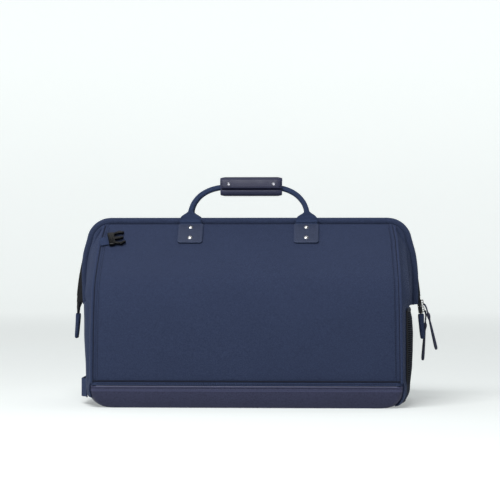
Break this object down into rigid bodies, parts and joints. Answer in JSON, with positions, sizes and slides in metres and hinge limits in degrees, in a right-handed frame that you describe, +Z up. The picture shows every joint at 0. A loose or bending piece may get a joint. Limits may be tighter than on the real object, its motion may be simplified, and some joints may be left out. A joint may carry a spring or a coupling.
{
  "type": "weekender bag",
  "caption": "Structured travel bag with a leather base, a hinged wire-framed mouth closed by a zip, and paired webbing handles in a snapped grip.",
  "frame": {"origin": "on the floor under the middle of the leather base", "axes": "+Z up, the front faces -Y, +X runs to the end with the mesh pocket and the zip sliders"},
  "size_m": [0.6165, 0.248, 0.377],
  "materials": {
    "leather": "fine-grained navy leather",
    "navy_fabric": "tightly woven navy canvas",
    "webbing": "navy ribbed webbing",
    "zip_fabric": "black woven zip tape",
    "zip_coil": "black nylon coil",
    "mesh": "dark open mesh",
    "elastic": "woven elastic edge",
    "lining_fabric": "smooth woven lining",
    "board": "grey stiffener board",
    "steel": "spring steel",
    "nickel": "nickel-plated",
    "black_metal": "black-painted zinc",
    "black_plastic": "moulded acetal"
  },
  "bodies": {
    "body": {"base_wrap": "leather", "base_board": "board", "lining": "lining_fabric", "front_lower_panel": "navy_fabric", "back_lower_panel": "navy_fabric", "left_side_panel": "navy_fabric", "right_side_panel": "navy_fabric", "front_piping": "webbing", "back_piping": "webbing", "front_base_binding": "navy_fabric", "back_base_binding": "navy_fabric", "side_pocket": "mesh", "pocket_elastic": "elastic", "side_grab_strap": "webbing", "left_hinge_bracket": "steel", "right_hinge_bracket": "steel", "hinge_rivets": "nickel", "left_zip_tail": "zip_fabric", "right_zip_tail": "zip_fabric", "left_end_tab": "webbing", "right_end_tab": "webbing"},
    "front_mouth": {"front_upper_panel": "navy_fabric", "front_left_gusset": "navy_fabric", "front_right_gusset": "navy_fabric", "front_frame_wire": "steel", "front_mouth_band": "navy_fabric", "front_zip_tape": "zip_fabric", "front_zip_coil": "zip_coil", "front_left_patch": "leather", "front_right_patch": "leather", "front_patch_rivets": "nickel", "front_webbing_ends": "webbing"},
    "back_mouth": {"back_upper_panel": "navy_fabric", "back_left_gusset": "navy_fabric", "back_right_gusset": "navy_fabric", "back_frame_wire": "steel", "back_mouth_band": "navy_fabric", "back_zip_tape": "zip_fabric", "back_zip_coil": "zip_coil", "back_left_patch": "leather", "back_right_patch": "leather", "back_patch_rivets": "nickel", "back_webbing_ends": "webbing"},
    "front_handle": {"front_handle": "webbing"},
    "back_handle": {"back_handle": "webbing", "grip_cradle": "leather"},
    "grip_leaf": {"grip_leaf": "leather", "snap_studs": "nickel"},
    "grip_flap": {"grip_flap": "leather", "snap_caps": "nickel"},
    "upper_slider": {"upper_slider": "black_metal"},
    "lower_slider": {"lower_slider": "black_metal"},
    "upper_pull": {"upper_pull_bail": "black_metal", "upper_pull_tag": "webbing"},
    "lower_pull": {"lower_pull_bail": "black_metal", "lower_pull_tag": "webbing"},
    "buckle": {"buckle_webbing": "webbing", "buckle_male": "black_plastic"}
  },
  "joints": [
    {"name": "front_mouth_open", "type": "hinge", "parent": "body", "child": "front_mouth", "pos_m": [0, 0, 0.175], "axis": [1, 0, 0], "range_deg": [0, 45]},
    {"name": "back_mouth_open", "type": "hinge", "parent": "body", "child": "back_mouth", "pos_m": [0, 0, 0.175], "axis": [-1, 0, 0], "range_deg": [0, 45]},
    {"name": "front_handle_fall", "type": "hinge", "parent": "front_mouth", "child": "front_handle", "pos_m": [0, -0.0171, 0.3035], "axis": [1, 0, 0], "range_deg": [0, 120]},
    {"name": "back_handle_fall", "type": "hinge", "parent": "back_mouth", "child": "back_handle", "pos_m": [0, 0.0171, 0.3035], "axis": [-1, 0, 0], "range_deg": [0, 120]},
    {"name": "grip_leaf_open", "type": "hinge", "parent": "back_handle", "child": "grip_leaf", "pos_m": [0.004, -0.01045, 0.3495], "axis": [1, 0, 0], "range_deg": [0, 100], "deforming": ["grip_leaf", "snap_studs"]},
    {"name": "grip_flap_open", "type": "hinge", "parent": "back_handle", "child": "grip_flap", "pos_m": [0.004, 0.0104, 0.3763], "axis": [-1, 0, 0], "range_deg": [0, 150], "deforming": ["grip_flap", "snap_caps"]},
    {"name": "upper_slider_run", "type": "slide", "parent": "body", "child": "upper_slider", "axis": [0.134, 0, -0.991], "range_m": [-0.085, 0]},
    {"name": "lower_slider_run", "type": "slide", "parent": "body", "child": "lower_slider", "axis": [0.134, 0, -0.991], "range_m": [-0.085, 0]},
    {"name": "upper_pull_swing", "type": "hinge", "parent": "upper_slider", "child": "upper_pull", "pos_m": [0.29193, 0, 0.16836], "axis": [0, 1, 0], "range_deg": [-90, 0]},
    {"name": "lower_pull_swing", "type": "hinge", "parent": "lower_slider", "child": "lower_pull", "pos_m": [0.29347, 0, 0.15696], "axis": [0, 1, 0], "range_deg": [-90, 0]},
    {"name": "buckle_lift", "type": "hinge", "parent": "front_mouth", "child": "buckle", "pos_m": [-0.2435, -0.04095, 0.2753], "axis": [0.1392, -0.7123, -0.6879], "range_deg": [0, 120]}
  ],
  "couplings": [
    {"joint": "back_mouth_open", "follows": "front_mouth_open", "ratio": 1},
    {"joint": "lower_slider_run", "follows": "upper_slider_run", "ratio": 1}
  ]
}
